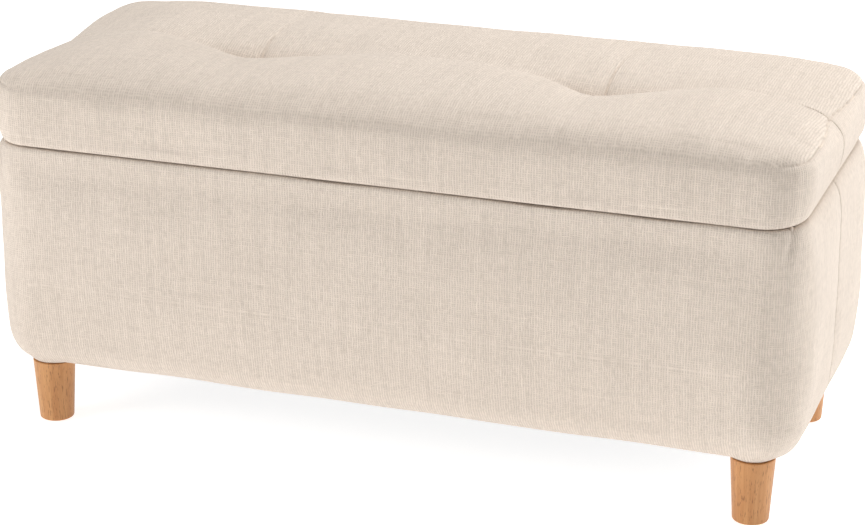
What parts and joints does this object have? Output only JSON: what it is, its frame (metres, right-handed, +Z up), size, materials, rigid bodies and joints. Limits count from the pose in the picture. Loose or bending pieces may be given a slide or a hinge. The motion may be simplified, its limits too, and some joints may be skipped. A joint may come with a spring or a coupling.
{
  "type": "upholstered storage bench",
  "caption": "Padded rectangular storage bench with a tufted hinged lid, fabric covers and short tapered wooden legs.",
  "frame": {"origin": "on the floor, under the middle of the bench", "axes": "+X along the bench's length, +Z up, the front faces -Y"},
  "size_m": [0.906, 0.366, 0.426],
  "materials": {
    "upholstery_cloth": "matte",
    "lining_cloth": "matte",
    "dust_cover_cloth": "matte",
    "foam": "matte",
    "leg_wood": "satin",
    "board_wood": "matte",
    "glide_plastic": "matte",
    "bumper_rubber": "matte",
    "tuft_cord": "matte",
    "fastener_steel": "satin",
    "hinge_steel": "satin"
  },
  "bodies": {
    "base": {"frame_front_panel": "board_wood", "frame_rear_panel": "board_wood", "frame_left_panel": "board_wood", "frame_right_panel": "board_wood", "bottom_board": "board_wood", "rail_front": "board_wood", "rail_rear": "board_wood", "rail_left": "board_wood", "rail_right": "board_wood", "box_screws": "fastener_steel", "base_foam_front": "foam", "base_foam_rear": "foam", "base_foam_left": "foam", "base_foam_right": "foam", "base_cover_front": "upholstery_cloth", "base_cover_rear": "upholstery_cloth", "dust_cover": "dust_cover_cloth", "lining_front": "lining_cloth", "lining_rear": "lining_cloth", "lining_left": "lining_cloth", "lining_right": "lining_cloth", "lining_floor": "lining_cloth", "leg_front_left": "leg_wood", "leg_front_right": "leg_wood", "leg_rear_left": "leg_wood", "leg_rear_right": "leg_wood", "leg_hanger_bolts": "fastener_steel", "leg_tee_nuts": "fastener_steel", "leg_glides": "glide_plastic", "rim_bumpers": "bumper_rubber", "hinge_left_base_leaf": "hinge_steel", "hinge_right_base_leaf": "hinge_steel", "hinge_left_pin": "hinge_steel", "hinge_right_pin": "hinge_steel", "hinge_base_screws": "hinge_steel", "stay_left_box_bracket": "hinge_steel", "stay_right_box_bracket": "hinge_steel", "stay_base_screws": "hinge_steel"},
    "lid": {"lid_board": "board_wood", "lid_foam": "foam", "lid_top_panel_left": "upholstery_cloth", "lid_top_panel_middle": "upholstery_cloth", "lid_top_panel_right": "upholstery_cloth", "lid_boxing_front": "upholstery_cloth", "lid_boxing_rear": "upholstery_cloth", "lid_lining": "lining_cloth", "tuft_cords": "tuft_cord", "tuft_washers": "fastener_steel", "hinge_left_lid_leaf": "hinge_steel", "hinge_right_lid_leaf": "hinge_steel", "hinge_lid_screws": "hinge_steel", "stay_left_lid_bracket": "hinge_steel", "stay_right_lid_bracket": "hinge_steel", "stay_lid_screws": "hinge_steel"},
    "stay_left_lower": {"stay_left_lower_arm": "hinge_steel"},
    "stay_left_upper": {"stay_left_upper_arm": "hinge_steel"},
    "stay_right_lower": {"stay_right_lower_arm": "hinge_steel"},
    "stay_right_upper": {"stay_right_upper_arm": "hinge_steel"}
  },
  "joints": [
    {"name": "lid_hinge", "type": "hinge", "parent": "base", "child": "lid", "pos_m": [0, 0.179, 0.3325], "axis": [-1, 0, 0], "range_deg": [0, 95]},
    {"name": "stay_left_lower_pivot", "type": "hinge", "parent": "base", "child": "stay_left_lower", "pos_m": [-0.4117, 0.104, 0.27], "axis": [-1, 0, 0], "range_deg": [0, 95]},
    {"name": "stay_left_upper_pivot", "type": "hinge", "parent": "lid", "child": "stay_left_upper", "pos_m": [-0.4117, 0.029, 0.32], "axis": [-1, 0, 0], "range_deg": [-95, 0]},
    {"name": "stay_right_lower_pivot", "type": "hinge", "parent": "base", "child": "stay_right_lower", "pos_m": [0.4117, 0.104, 0.27], "axis": [-1, 0, 0], "range_deg": [0, 95]},
    {"name": "stay_right_upper_pivot", "type": "hinge", "parent": "lid", "child": "stay_right_upper", "pos_m": [0.4117, 0.029, 0.32], "axis": [-1, 0, 0], "range_deg": [-95, 0]}
  ],
  "couplings": [
    {"joint": "stay_left_lower_pivot", "follows": "lid_hinge", "ratio": 1},
    {"joint": "stay_left_upper_pivot", "follows": "lid_hinge", "ratio": -1},
    {"joint": "stay_right_lower_pivot", "follows": "lid_hinge", "ratio": 1},
    {"joint": "stay_right_upper_pivot", "follows": "lid_hinge", "ratio": -1}
  ]
}
